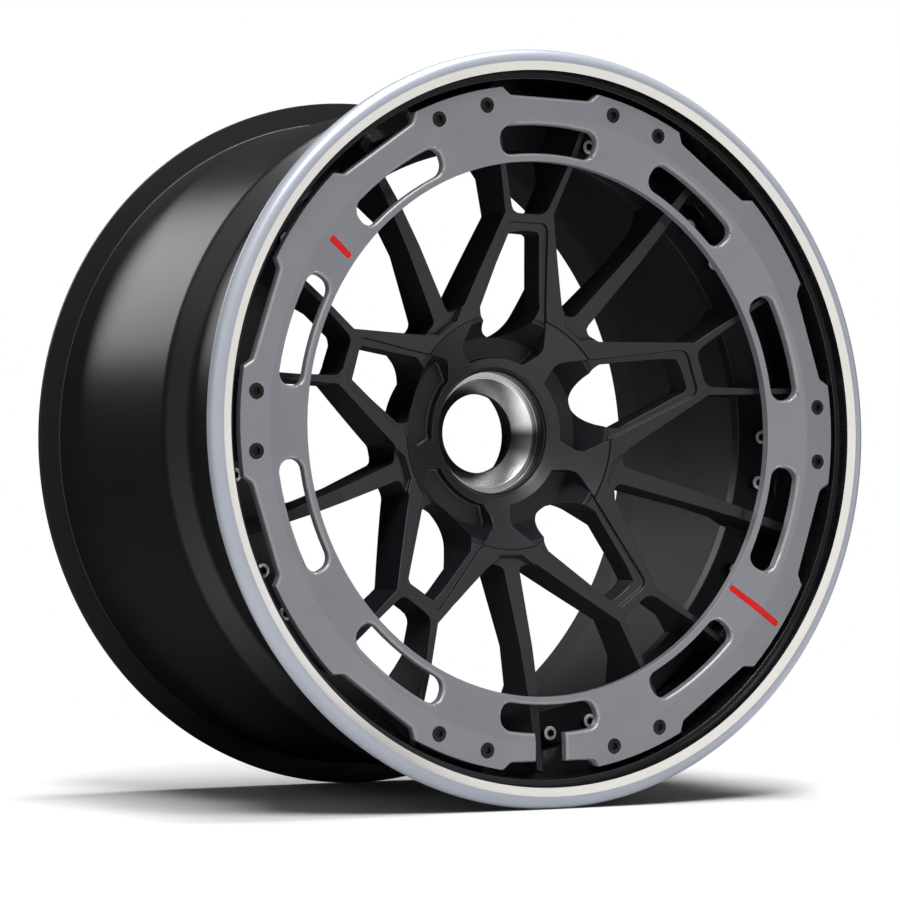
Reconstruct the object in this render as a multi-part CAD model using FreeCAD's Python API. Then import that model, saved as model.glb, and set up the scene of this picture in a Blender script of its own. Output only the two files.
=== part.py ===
import FreeCAD, Part
import math
import os

# Forged centre-lock wheel built from a lip, a barrel and a spoked disc.
# Axis along Y, outer face towards -Y, +Z up, origin on the axis in the rim's middle plane.
# Millimetres and degrees. Offsets run forwards from the middle plane, towards the outer face.
# Angles round the wheel run clockwise from the top, as seen from the outer face.

# Rim of code 21 by 12.5 inches with J flanges
rim_width = 317.5               # between the two flanges
bead_seat_radius = 269.1
flange_height = 17.5
flange_thickness = 9.3
flange_round = 8.0              # rounding of a flange's outer corner
flange_round_facets = 3         # turned facets that make that rounding
bead_seat_width = 24.0
bead_taper = 2.0                # fall of a bead seat's radius over its width
rim_wall = 5.5
well_depth = 16.1               # bead seat down to the well's floor
well_front_run = 28.0           # slope from the front bead seat down to the well
well_rear_run = 20.0            # slope from the well's floor up to the drum
drum_offset = 38.0              # front edge of the drum
rear_mouth_run = 40.0           # length over which the drum opens towards the rear
rear_mouth_wall = 2.5           # metal left at the rear mouth
joint_offset = 78.5             # plane where lip, barrel and disc meet

# Polished lip
lip_wall = 3.9                  # metal left outside the lip's mouth
ledge_width = 3.8
ledge_depth = 11.0              # behind the outermost plane
lip_face_width = 9.6            # flange top down to the start of the polished slope
inner_straight = 25.5           # length of the inner cylinder next to the joint
lug_reach = 6.95                # lug's inner edge, inside the cover ring's bolt circle
lug_half_angle = 6.4            # clears the petals' arms
lug_depth = 12.0
lug_land = 15.5                 # radial length of the face that carries the cover ring

# Centre disc
petal_count = 5
disc_flange_thickness = 10.0
disc_flange_overlap = 5.0       # how far it reaches inside the barrel's flange
barrel_flange_thickness = 8.0
barrel_flange_width = 23.5
disc_clearance = 0.6            # between the disc and the rim's inner wall
hub_face_radius = 51.1
hub_face_offset = 72.3
mounting_face_offset = 10.0
spigot_radius = 42.5
boss_rear_radius = 64.0
boss_front_radius = 74.3
boss_front_offset = 38.0
boss_chamfer = 3.0
front_knots = [(91.7, 97.4), (166.5, 126.6), (201.8, 137.2)]                   # radius, offset
rim_face_offset = 151.0         # face at its outer end, under the cover ring
rim_face_overrun = 6.8          # that end, outside the lip's mouth
rear_knots = [(106.0, 57.0), (166.0, 89.0), (196.0, 94.0)]

# Forked petal, drawn on its own axis: sideways first, then distance from the wheel's centre
kink = (21.7, 166.1)            # where a spoke's outer edge turns into its arm
spoke_foot = (44.2, 95.0)       # lower end of a spoke's outer edge
arm_spread = 0.297              # sideways per unit of length outwards
arm_width = 5.0
arm_root_width = 7.0
fork_floor = 165.9              # bottom of the opening between the two arms
fork_round = 9.0
gap_round = 6.0                 # bottom of the gaps beside a straight spoke
window_top = (13.6, 153.3)      # corner of the through window
window_side = (26.3, 95.0)      # lower end of the window's straight side
window_floor = 74.3
window_round = 5.0
pocket_top = (18.4, 159.3)      # corner of the shallow pocket round the window
pocket_foot = (36.5, 63.0)
pocket_round = 8.0
pocket_hub_radius = 58.0
pocket_hub_angle = 24.0         # half angle of the pocket's edge on the hub
pocket_depth = 3.5              # pocket ledge below the spoke's face
trough_offset = 69.0            # flat floor of the pocket beside the hub
trough_radius = 74.5
trough_slope_radius = 88.0
relief_margin = 6.0             # how much wider the window is at the back
relief_foot_run = 20.0          # length over which it widens
relief_depth = 27.0             # metal left in front of that relief

# Straight spoke, one between each two petals
straight_half_widths = [(104.3, 7.0), (203.0, 4.65), (265.0, 2.1)]             # radius, half width
cutter_overrun = 9.4            # how far the cutters between spokes run past the rim
straight_tip_half_width = 0.8
straight_recess_root = 4.0      # its face lies this much below the petals' faces
straight_recess_rim = 7.0
recess_root = (9.2, 95.6)       # corners of the lowered face, on the spoke's own axis
recess_shoulder = (17.2, 102.6)
hub_groove_radius = 91.5
hub_groove_width = 1.2
hub_groove_depth = 1.2

# Seat for the centre nut
insert_radius = 48.5
insert_clearance = 0.1
insert_rim = 1.0
insert_front_offset = 68.4
insert_ledge_offset = 57.7
insert_rear_offset = 40.0
cone_outer_radius = 42.7
cone_inner_radius = 31.1
cone_end_offset = 45.0

# Drive holes in the mounting face
drive_hole_count = 5
drive_circle_radius = 54.0
drive_hole_radius = 6.0
drive_hole_depth = 20.0

# Cover ring over the spokes' ends
ring_setback = 9.35             # behind the lip's outermost plane
ring_gap = 5.4                  # to the lip's mouth
ring_width = 56.7
ring_flat_width = 23.2          # flat outside, conical inside of it
ring_cone_drop = 5.9
ring_thickness = 7.2
slot_count = 10
slot_edge = 5.9                 # metal between a slot and the ring's inner edge
slot_width = 21.4
slot_half_angle = 11.0
slot_round_share = 0.44         # rounding of a slot's corners, as a share of its width
notch_depth = 6.2
notch_mouth_half_angle = 9.1
notch_floor_half_angle = 7.9
notch_round = 5.0
access_angle = 180.0            # the slot that opens outwards, for the tyre valve
access_width = 26.0
mark_width = 5.6
mark_depth = 0.9
marks = [(306.0, 4.9, 27.9), (126.0, 2.1, 53.3)]     # angle, from and to outside the inner edge

# Fasteners, drawn with flats because many small round rods would double the facets
fastener_sides = 12
hexagon_sides = 6               # shanks, sockets and the valve's nut
ring_bolt_edge = 12.05          # bolt circle from the ring's outer edge
ring_bolt_pairs = [18.0, 90.0, 162.0, 198.0, 270.0, 342.0]
ring_bolt_spread = 5.0          # each bolt from the middle of its pair
ring_bolt_head_radius = 5.7
ring_bolt_head_height = 3.2
ring_bolt_shank_radius = 2.9
ring_bolt_length = 16.0
assembly_edge = 13.0            # bolt circle from the barrel flange's inner edge
assembly_angles = [18.0, 27.0, 45.0, 54.0]                                     # from each petal
assembly_head_radius = 5.5
assembly_head_height = 7.0
assembly_shank_radius = 3.9
assembly_length = 22.0
bolt_clearance = 0.4
socket_radius = 3.0
socket_depth = 2.4

# Tyre valve, in the lip's wall beside the lowest straight spoke
valve_angle = 185.0
valve_offset = 96.5
valve_stem_radius = 4.0
valve_hole_radius = 4.3
valve_stem_length = 34.0
valve_head_radius = 8.0
valve_head_thickness = 3.0
valve_seal_thickness = 2.0
valve_nut_radius = 7.5
valve_nut_height = 5.0
valve_cap_radius = 4.9
valve_cap_length = 12.0
valve_cap_overlap = 8.0         # how far the stem reaches into the cap

front_plane = -(rim_width / 2 + flange_thickness)
rear_plane = -front_plane
flange_radius = bead_seat_radius + flange_height
straight_reach = flange_radius + cutter_overrun
seat_low_radius = bead_seat_radius - bead_taper
well_radius = bead_seat_radius - well_depth
well_inner_radius = well_radius - rim_wall
barrel_flange_inner_radius = well_inner_radius - barrel_flange_width
disc_flange_inner_radius = barrel_flange_inner_radius - disc_flange_overlap
assembly_circle = barrel_flange_inner_radius + assembly_edge
joint_plane = -joint_offset
disc_flange_front = joint_plane - disc_flange_thickness
barrel_flange_back = joint_plane + barrel_flange_thickness
disc_edge_radius = well_inner_radius - disc_clearance
mouth_radius = bead_seat_radius - lip_wall
ledge_plane = front_plane + ledge_depth
inner_cone_front = joint_plane - inner_straight
ring_front = front_plane + ring_setback
ring_back = ring_front + ring_thickness
ring_cone_front = ring_front + ring_cone_drop
ring_outer_radius = mouth_radius - ring_gap
ring_inner_radius = ring_outer_radius - ring_width
ring_break_radius = ring_outer_radius - ring_flat_width
slot_inner_radius = ring_inner_radius + slot_edge
slot_outer_radius = slot_inner_radius + slot_width
slot_round = slot_round_share * slot_width
ring_bolt_circle = ring_outer_radius - ring_bolt_edge
lug_inner_radius = ring_bolt_circle - lug_reach
ring_bolt_seat = ring_front + ring_bolt_head_height
sector_angle = 360.0 / petal_count
far = -2 * flange_radius        # a plane well ahead of everything

centre = FreeCAD.Vector(0, 0, 0)
axle = FreeCAD.Vector(0, 1, 0)


def section_point(radius, y):
    return FreeCAD.Vector(radius, y, 0)


def face_point(x, z):
    return FreeCAD.Vector(x, 0, z)


def polar_point(radius, angle):
    turn = math.radians(angle)
    return FreeCAD.Vector(radius * math.sin(turn), 0, radius * math.cos(turn))


def flipped(point):
    return FreeCAD.Vector(-point.x, point.y, point.z)


def turned_to(shape, angle):
    copy = shape.copy()
    copy.rotate(centre, axle, angle)
    return copy


def around(shape, count):
    return [turned_to(shape, 360.0 * i / count) for i in range(count)]


def path(points):
    return [Part.LineSegment(a, b).toShape() for a, b in zip(points, points[1:])]


# Straight edges through (point, radius) corners, with an arc where a radius is given
def rounded_path(corners, closed=True):
    spans = []
    for i, (point, radius) in enumerate(corners):
        if radius == 0:
            spans.append((point, None, point))
            continue
        before = (corners[i - 1][0] - point).normalize()
        after = (corners[(i + 1) % len(corners)][0] - point).normalize()
        half = before.getAngle(after) / 2
        middle = (before + after).normalize()
        run = radius / math.tan(half)
        crown = point + middle * (radius / math.sin(half) - radius)
        spans.append((point + before * run, crown, point + after * run))
    edges = []
    for i, (start, crown, end) in enumerate(spans):
        if crown is not None:
            edges.append(Part.Arc(start, crown, end).toShape())
        if closed or i < len(spans) - 1:
            edges.append(Part.LineSegment(end, spans[(i + 1) % len(spans)][0]).toShape())
    return edges


# Ring, or part of one, turned about the axle from (radius, y) corners
def turned(corners, angle=360.0):
    points = [section_point(r, y) for r, y in corners]
    face = Part.Face(Part.Wire(path(points + points[:1])))
    return face.revolve(centre, axle, angle)


def sector(corners, middle, half_angle):
    first_angle = middle - 90.0 - half_angle
    return turned_to(turned(corners, 2 * half_angle), first_angle)


# Prism along the axle from edges drawn on the plane y = 0
def prism(edges, y_start, y_end):
    face = Part.Face(Part.Wire(edges))
    face.translate(axle * y_start)
    return face.extrude(axle * (y_end - y_start))


def flat_rod(radius, y_start, y_end, place, sides=fastener_sides):
    corners = [(place + polar_point(radius, 360.0 * i / sides), 0) for i in range(sides)]
    return prism(rounded_path(corners), y_start, y_end)


# Rounded outer corner of a flange, from its face round to its top; side is -1 at the front
def flange_corner(side):
    steps = [math.radians(90.0 * i / flange_round_facets) for i in range(flange_round_facets + 1)]
    inner = flange_radius - flange_round
    face = side * (rear_plane - flange_round)
    return [(inner + flange_round * math.sin(a), face + side * flange_round * math.cos(a)) for a in steps]


# Section line of the spokes' dished face, lowered from root to rim
def dished_line(recess_root_end=0.0, recess_rim_end=0.0):
    knots = front_knots + [(mouth_radius + rim_face_overrun, rim_face_offset)]
    first = knots[0][0]
    length = knots[-1][0] - first
    line = []
    for radius, offset in knots:
        share = (radius - first) / length
        line.append((radius, -offset + recess_root_end + (recess_rim_end - recess_root_end) * share))
    return line


# Everything ahead of the lowered face; head is the section towards the hub
def ahead_of_face(head, recess_root_end, recess_rim_end):
    line = head + dished_line(recess_root_end, recess_rim_end)
    return turned(line + [(line[-1][0], far), (line[0][0], far)])


def lip_inner_radius(y):
    share = (inner_cone_front - y) / (inner_cone_front - ledge_plane)
    return well_inner_radius + (mouth_radius - well_inner_radius) * share


def ring_bolt_places():
    places = []
    for pair in ring_bolt_pairs:
        places.append(polar_point(ring_bolt_circle, pair - ring_bolt_spread))
        places.append(polar_point(ring_bolt_circle, pair + ring_bolt_spread))
    return places


def assembly_places():
    return [polar_point(assembly_circle, sector_angle * i + angle)
            for i in range(petal_count) for angle in assembly_angles]


# Front rim half: flange, polished slope and ledge, wall down to the joint, lugs for the cover ring
def outer_lip():
    seat_start = front_plane + flange_thickness
    seat_end = seat_start + bead_seat_width
    body = turned([
        (well_inner_radius, joint_plane),
        (well_inner_radius, inner_cone_front),
        (mouth_radius, ledge_plane),
        (mouth_radius + ledge_width, ledge_plane),
        (flange_radius - lip_face_width, front_plane),
    ] + flange_corner(-1) + [
        (flange_radius, seat_start),
        (bead_seat_radius, seat_start),
        (seat_low_radius, seat_end),
        (well_radius, seat_end + well_front_run),
        (well_radius, joint_plane),
    ])
    root = (seat_low_radius + lip_inner_radius(ring_back)) / 2
    lug = sector([
        (lug_inner_radius, ring_back),
        (lug_inner_radius + lug_land, ring_back),
        (root, ring_back + lug_depth),
        (root, ring_back + 2 * lug_depth),
        (lug_inner_radius, ring_back + lug_depth),
    ], 0.0, lug_half_angle)
    body = body.fuse([turned_to(lug, pair) for pair in ring_bolt_pairs])
    holes = [flat_rod(ring_bolt_shank_radius, ring_back, ring_front + ring_bolt_length, place, hexagon_sides)
             for place in ring_bolt_places()]
    return body.cut(holes + [valve_rod(valve_hole_radius, -well_depth, 2 * rim_wall)])


# Rear rim half: bolting flange, well, drum, rear bead seat and flange
def inner_barrel():
    seat_start = rear_plane - flange_thickness
    seat_end = seat_start - bead_seat_width
    drum_front = -drum_offset
    well_end = drum_front - well_rear_run
    drum_radius = seat_low_radius
    body = turned([
        (barrel_flange_inner_radius, joint_plane),
        (well_radius, joint_plane),
        (well_radius, well_end),
        (drum_radius, drum_front),
        (drum_radius, seat_end),
        (bead_seat_radius, seat_start),
        (flange_radius, seat_start),
    ] + flange_corner(1)[::-1] + [
        (bead_seat_radius - rear_mouth_wall, rear_plane),
        (drum_radius - rim_wall, rear_plane - rear_mouth_run),
        (drum_radius - rim_wall, drum_front + rim_wall),
        (well_inner_radius, well_end + rim_wall),
        (well_inner_radius, barrel_flange_back),
        (barrel_flange_inner_radius, barrel_flange_back),
    ])
    holes = [flat_rod(assembly_shank_radius, joint_plane, barrel_flange_back, place, hexagon_sides)
             for place in assembly_places()]
    return body.cut(holes)


# Side of the straight spoke that follows a petal clockwise, from its root out past the rim
def straight_side():
    half = math.radians(sector_angle / 2)
    along = face_point(math.sin(half), math.cos(half))
    across = face_point(-math.cos(half), math.sin(half))
    stations = straight_half_widths + [(straight_reach, straight_tip_half_width)]
    return [along * radius + across * width for radius, width in stations]


def arm_outer_edge(distance):
    return kink[0] + arm_spread * (distance - kink[1])


# Opening between a petal and the straight spoke that follows it
def gap_outline():
    side = straight_side()
    corners = [(face_point(*spoke_foot), gap_round), (face_point(*kink), 0),
               (face_point(arm_outer_edge(straight_reach), straight_reach), 0)]
    corners += [(point, 0) for point in side[:0:-1]]
    return rounded_path(corners + [(side[0], gap_round)])


# Opening between the two arms of a petal
def fork_outline():
    floor = face_point(arm_outer_edge(fork_floor) - arm_root_width, fork_floor)
    slim = face_point(arm_outer_edge(ring_inner_radius) - arm_width, ring_inner_radius)
    tip = face_point(arm_outer_edge(straight_reach) - arm_width, straight_reach)
    return rounded_path([(flipped(tip), 0), (flipped(slim), 0), (flipped(floor), fork_round),
                         (floor, fork_round), (slim, 0), (tip, 0)])


# Through window of a petal: sides that open towards the hub and a round floor
def window_outline():
    side = face_point(*window_side)
    top = face_point(*window_top)
    edges = rounded_path([(side, 0), (top, window_round), (flipped(top), window_round),
                          (flipped(side), 0)], closed=False)
    return edges + [Part.Arc(flipped(side), face_point(0, window_floor), side).toShape()]


# Wider opening behind the window's sides and top, which leaves thin walls round it
def relief_outline():
    foot = face_point(*window_side)
    side = foot + face_point(relief_margin, relief_foot_run)
    top = face_point(*window_top) + face_point(relief_margin, relief_margin)
    points = [foot, side, top]
    return rounded_path([(point, 0) for point in points + [flipped(point) for point in points[::-1]]])


# Edge of the shallow pocket round a window, from the crossbar down to the hub
def pocket_outline():
    top = face_point(*pocket_top)
    foot = face_point(*pocket_foot)
    hub = polar_point(pocket_hub_radius, pocket_hub_angle)
    edges = rounded_path([(hub, 0), (foot, pocket_round), (top, pocket_round), (flipped(top), pocket_round),
                          (flipped(foot), pocket_round), (flipped(hub), 0)], closed=False)
    return edges + [Part.Arc(flipped(hub), face_point(0, pocket_hub_radius), hub).toShape()]


# Lowered face of a straight spoke, with shoulders at its root
def recess_outline():
    root = face_point(*recess_root)
    shoulder = face_point(*recess_shoulder)
    tip = face_point(recess_shoulder[0], straight_reach)
    points = [flipped(tip), flipped(shoulder), flipped(root), root, shoulder, tip]
    return rounded_path([(point, 0) for point in points])


# Disc as turned, before milling: hub, dished web and bolting flange
def disc_blank():
    insert_bore = insert_radius + insert_clearance
    chamfer = hub_face_radius - insert_bore
    rim_radius = lip_inner_radius(ring_back) - disc_clearance
    rim_front = dished_line()[-1]
    blank = turned([
        (insert_bore, -insert_rear_offset),
        (insert_bore, -hub_face_offset + chamfer),
        (hub_face_radius, -hub_face_offset),
    ] + dished_line() + [
        (rim_front[0], disc_flange_front),
        (disc_edge_radius, disc_flange_front),
        (disc_edge_radius, joint_plane),
        (disc_flange_inner_radius, joint_plane),
    ] + [(radius, -offset) for radius, offset in rear_knots[::-1]] + [
        (boss_front_radius, -boss_front_offset),
        (boss_rear_radius + boss_chamfer, -mounting_face_offset - boss_chamfer),
        (boss_rear_radius, -mounting_face_offset),
        (spigot_radius, -mounting_face_offset),
        (spigot_radius, -insert_rear_offset),
    ])
    rim_space = turned([
        (disc_edge_radius, joint_plane), (disc_edge_radius, inner_cone_front), (rim_radius, ring_back),
        (rim_radius, far), (-far, far), (-far, joint_plane)])
    return blank.cut(rim_space)


# Forged centre: forked petals and straight spokes between the hub and the bolting flange
def centre_disc():
    flange = turned([(disc_flange_inner_radius, disc_flange_front), (-far, disc_flange_front),
                     (-far, 0), (disc_flange_inner_radius, 0)])
    gap = prism(gap_outline(), far, 0).cut(flange)
    fork = prism(fork_outline(), far, 0).cut(flange)
    window = prism(window_outline(), far, 0)

    hub_line = [(spigot_radius, -trough_offset), (trough_radius, -trough_offset),
                (trough_slope_radius, dished_line()[0][1] + pocket_depth)]
    pocket = prism(pocket_outline(), far, 0).common(ahead_of_face(hub_line, pocket_depth, pocket_depth))
    root_line = [(hub_face_radius, dished_line()[0][1])]
    lowered = ahead_of_face(root_line, straight_recess_root, straight_recess_rim)
    recess = turned_to(prism(recess_outline(), far, 0).common(lowered), sector_angle / 2)
    back_line = dished_line(relief_depth, relief_depth)
    behind = turned(back_line + [
        (back_line[-1][0], 0), (hub_face_radius, 0), (hub_face_radius, back_line[0][1])])
    relief = prism(relief_outline(), far, 0).common(behind)

    cuts = []
    for shape in (gap, gap.mirror(centre, FreeCAD.Vector(1, 0, 0)), fork, window, pocket, recess, relief):
        cuts += around(shape, petal_count)
    groove = [hub_groove_radius - hub_groove_width / 2, hub_groove_radius + hub_groove_width / 2]
    floor = dished_line()[0][1] + hub_groove_depth
    cuts.append(turned([(groove[0], floor), (groove[1], floor), (groove[1], far), (groove[0], far)]))
    drive = Part.makeCylinder(drive_hole_radius, drive_hole_depth, polar_point(drive_circle_radius, 0)
                              - axle * (mounting_face_offset + drive_hole_depth), axle)
    cuts += around(drive, drive_hole_count)
    hole_radius = assembly_shank_radius + bolt_clearance
    cuts += [flat_rod(hole_radius, disc_flange_front, joint_plane, place, hexagon_sides)
             for place in assembly_places()]
    return disc_blank().cut(cuts)


# Turned seat for the centre nut
def hub_insert():
    rim_inner = insert_radius - insert_rim
    return turned([
        (cone_inner_radius, -insert_rear_offset), (cone_inner_radius, -cone_end_offset),
        (cone_outer_radius, -insert_ledge_offset), (rim_inner, -insert_ledge_offset),
        (rim_inner, -insert_front_offset), (insert_radius, -insert_front_offset),
        (insert_radius, -insert_rear_offset)])


# Round-ended cutter for a shallow radial groove that follows the cover ring's face
def mark_cutter(angle, start_edge, end_edge):
    half = mark_width / 2
    start = ring_inner_radius + start_edge
    end = ring_inner_radius + end_edge
    first = face_point(half, start + half)
    last = face_point(half, end - half)
    outline = [Part.Arc(flipped(first), face_point(0, start), first), Part.LineSegment(first, last),
               Part.Arc(last, face_point(0, end), flipped(last)),
               Part.LineSegment(flipped(last), flipped(first))]
    cutter = prism([edge.toShape() for edge in outline], far, 0)
    ahead = turned([
        (ring_inner_radius, ring_cone_front + mark_depth), (ring_break_radius, ring_front + mark_depth),
        (ring_outer_radius, ring_front + mark_depth), (ring_outer_radius, far), (ring_inner_radius, far)])
    return turned_to(cutter.common(ahead), angle)


# Cover ring: flat outside and conical inside, with slots, edge notches, bolt seats and milled marks
def aero_ring():
    body = turned([
        (ring_inner_radius, ring_cone_front), (ring_break_radius, ring_front),
        (ring_outer_radius, ring_front), (ring_outer_radius, ring_back), (ring_break_radius, ring_back),
        (ring_inner_radius, ring_cone_front + ring_thickness)])
    slot = sector([(slot_inner_radius, far), (slot_outer_radius, far), (slot_outer_radius, 0),
                   (slot_inner_radius, 0)], 0.0, slot_half_angle)
    corners = [edge for edge in slot.Edges if abs(edge.tangentAt(edge.FirstParameter).y) > 0.9]
    slot = slot.makeFillet(slot_round, corners)
    floor = ring_outer_radius - notch_depth
    mouth = ring_outer_radius + notch_depth
    mouth_half_angle = 2 * notch_mouth_half_angle - notch_floor_half_angle
    notch = prism(rounded_path([
        (polar_point(mouth, -mouth_half_angle), 0),
        (polar_point(floor, -notch_floor_half_angle), notch_round),
        (polar_point(floor, notch_floor_half_angle), notch_round),
        (polar_point(mouth, mouth_half_angle), 0),
    ]), far, 0)
    gate_start = slot_outer_radius - slot_round
    gate = Part.makeBox(access_width, -far, mouth - gate_start)
    gate.translate(FreeCAD.Vector(-access_width / 2, far, gate_start))
    cuts = around(slot, slot_count) + around(notch, slot_count) + [turned_to(gate, access_angle)]
    seat_radius = ring_bolt_head_radius + bolt_clearance
    hole_radius = ring_bolt_shank_radius + bolt_clearance
    for place in ring_bolt_places():
        cuts.append(flat_rod(seat_radius, far, ring_bolt_seat, place))
        cuts.append(flat_rod(hole_radius, ring_bolt_seat, ring_back, place, hexagon_sides))
    return body.cut(cuts + [mark_cutter(*mark) for mark in marks])


def ring_bolts():
    bolts = []
    for place in ring_bolt_places():
        bolt = flat_rod(ring_bolt_head_radius, ring_front, ring_bolt_seat, place)
        end = ring_front + ring_bolt_length
        bolt = bolt.fuse(flat_rod(ring_bolt_shank_radius, ring_bolt_seat, end, place, hexagon_sides))
        socket_floor = ring_front + socket_depth
        bolts.append(bolt.cut(flat_rod(socket_radius, ring_front, socket_floor, place, hexagon_sides)))
    return Part.makeCompound(bolts)


def assembly_bolts():
    bolts = []
    top = disc_flange_front - assembly_head_height
    for place in assembly_places():
        bolt = flat_rod(assembly_head_radius, top, disc_flange_front, place)
        end = disc_flange_front + assembly_length
        bolt = bolt.fuse(flat_rod(assembly_shank_radius, disc_flange_front, end, place, hexagon_sides))
        bolts.append(bolt.cut(flat_rod(socket_radius, top, top + socket_depth, place, hexagon_sides)))
    return Part.makeCompound(bolts)


# Rod towards the axle at the valve's place; distances run inwards from the well's floor
def valve_rod(radius, start, end, sides=fastener_sides):
    rod = flat_rod(radius, start, end, centre, sides)
    rod.rotate(centre, FreeCAD.Vector(1, 0, 0), -90.0)
    rod.translate(FreeCAD.Vector(0, -valve_offset, well_radius))
    return turned_to(rod, valve_angle)


def valve_stem():
    head = valve_rod(valve_head_radius, -valve_head_thickness - valve_seal_thickness, -valve_seal_thickness)
    return head.fuse(valve_rod(valve_stem_radius, -valve_seal_thickness, valve_stem_length))


def valve_seal():
    washer = valve_rod(valve_head_radius, -valve_seal_thickness, 0)
    return washer.cut(valve_rod(valve_stem_radius, -valve_seal_thickness, 0))


# The nut's corners rest on the lip's inner wall, which curves towards it
def valve_nut():
    rise = well_inner_radius - math.sqrt(well_inner_radius ** 2 - valve_nut_radius ** 2)
    seat = rim_wall + rise
    nut = valve_rod(valve_nut_radius, seat, seat + valve_nut_height, hexagon_sides)
    return nut.cut(valve_rod(valve_stem_radius, seat, seat + valve_nut_height))


def valve_cap():
    start = valve_stem_length - valve_cap_overlap
    cap = valve_rod(valve_cap_radius, start, start + valve_cap_length)
    return cap.cut(valve_rod(valve_stem_radius, start, valve_stem_length))


def build():
    os.makedirs("parts", exist_ok=True)
    for make in (outer_lip, inner_barrel, centre_disc, hub_insert, aero_ring, ring_bolts, assembly_bolts,
                 valve_stem, valve_seal, valve_nut, valve_cap):
        shape = make()
        shape.exportStep("parts/" + make.__name__ + ".step")
        print(make.__name__, shape.isValid(), len(shape.Solids), "solids", len(shape.Faces), "faces")


build()
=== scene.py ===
import math

import bmesh
import bpy
import numpy as np
from mathutils import Matrix


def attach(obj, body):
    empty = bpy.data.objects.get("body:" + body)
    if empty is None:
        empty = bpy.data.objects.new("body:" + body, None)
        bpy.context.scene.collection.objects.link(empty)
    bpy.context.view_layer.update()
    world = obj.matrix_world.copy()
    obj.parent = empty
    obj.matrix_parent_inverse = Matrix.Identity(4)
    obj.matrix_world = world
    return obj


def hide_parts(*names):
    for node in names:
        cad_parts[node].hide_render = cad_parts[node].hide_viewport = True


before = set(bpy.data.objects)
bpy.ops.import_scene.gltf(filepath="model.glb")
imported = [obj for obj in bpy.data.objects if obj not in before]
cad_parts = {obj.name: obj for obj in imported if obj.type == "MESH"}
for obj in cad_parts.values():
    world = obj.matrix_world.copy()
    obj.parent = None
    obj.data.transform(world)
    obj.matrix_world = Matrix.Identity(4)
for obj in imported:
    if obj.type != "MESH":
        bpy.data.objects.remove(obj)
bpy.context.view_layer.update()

# Looks of the forged wheel, in metres on the CAD frame: axis along Y, outer face towards -Y, +Z up.
# Sections are written as (radius, y, rounding) in millimetres, and angles in degrees clockwise from the top.

mm = 0.001
print("frame loaded", len(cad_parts), "nodes")


# Finishes

# New shader node with some of its inputs set
def addNode(tree, kind, inputs=None):
    node = tree.nodes.new("ShaderNode" + kind)
    for socket, value in (inputs or {}).items():
        node.inputs[socket].default_value = value
    return node


# Two outputs joined by one operation of a Math node
def addMath(tree, operation, first, second):
    node = addNode(tree, "Math")
    node.operation = operation
    tree.links.new(first, node.inputs[0])
    tree.links.new(second, node.inputs[1])
    return node.outputs["Value"]


# Plain material, the same all over; grain, tool marks and sectors of painted highlight are added to it below
def finish(name, color, roughness, metallic, specular):
    material = bpy.data.materials.new(name)
    material.use_nodes = True
    shader = material.node_tree.nodes["Principled BSDF"]
    shader.inputs["Base Color"].default_value = (*color, 1.0)
    shader.inputs["Roughness"].default_value = roughness
    shader.inputs["Metallic"].default_value = metallic
    shader.inputs["Specular IOR Level"].default_value = specular
    return material


finishValues = {  # colour, roughness, metallic, specular
    # The lip's three colours below paint its reflections (cream and blue-grey) and its shade (dark metal)
    "polishedLipPaintedReflection": ((0.74, 0.72, 0.68), 0.18, 0.6, 0.5),
    "satinLipPaintedReflection": ((0.36, 0.385, 0.44), 0.36, 0.3, 0.25),
    "lipMetalPaintedShade": ((0.07, 0.07, 0.075), 0.28, 1.0, 0.5),
    "satinBlack": ((0.009, 0.009, 0.012), 0.36, 0.0, 0.36),
    "barrelBlack": ((0.007, 0.007, 0.008), 0.33, 0.0, 0.32),
    "insideBlackPaintedLight": ((0.018, 0.018, 0.019), 0.50, 0.0, 0.30),
    "greyRing": ((0.212, 0.218, 0.240), 0.38, 0.3, 0.5),
    "ringEdge": ((0.26, 0.26, 0.27), 0.42, 0.45, 0.5),
    "turnedMetal": ((0.62, 0.62, 0.64), 0.26, 1.0, 0.5),
    "blackBolt": ((0.004, 0.004, 0.004), 0.36, 0.0, 0.25),
    "brightBolt": ((0.80, 0.80, 0.82), 0.24, 0.5, 0.5),
    "redPaint": ((0.56, 0.012, 0.014), 0.42, 0.0, 0.2),
    "rubber": ((0.018, 0.018, 0.018), 0.7, 0.0, 0.3),
}
finishes = {name: finish(name, *values) for name, values in finishValues.items()}

# The bump's height at strength 1, and the distance between rings of a wave at scale 1, both in metres
relief = {"bumpHeight": 0.05 * mm, "ringWave": 0.314, "waveDistortion": 0.6, "waveDetail": 2.0,
          "grainDetail": 3.0, "patchDetail": 4.0, "patchRange": (0.3, 0.7)}


# A texture's value lifts the surface as a low bump
def addBump(tree, texture, strength):
    bump = addNode(tree, "Bump", {"Strength": strength, "Distance": relief["bumpHeight"]})
    tree.links.new(texture.outputs["Fac"], bump.inputs["Height"])
    tree.links.new(bump.outputs["Normal"], tree.nodes["Principled BSDF"].inputs["Normal"])


# Fine circular tool marks: a wave of the distance from the axle, in Object coordinates, used as a low bump
def addToolMarks(material, spacing, strength):
    tree = material.node_tree
    place = addNode(tree, "TexCoord")
    wave = addNode(tree, "TexWave", {"Scale": relief["ringWave"] / spacing,
                                     "Distortion": relief["waveDistortion"], "Detail": relief["waveDetail"]})
    wave.wave_type = "RINGS"
    wave.rings_direction = "Y"
    tree.links.new(place.outputs["Object"], wave.inputs["Vector"])
    addBump(tree, wave, strength)


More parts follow.
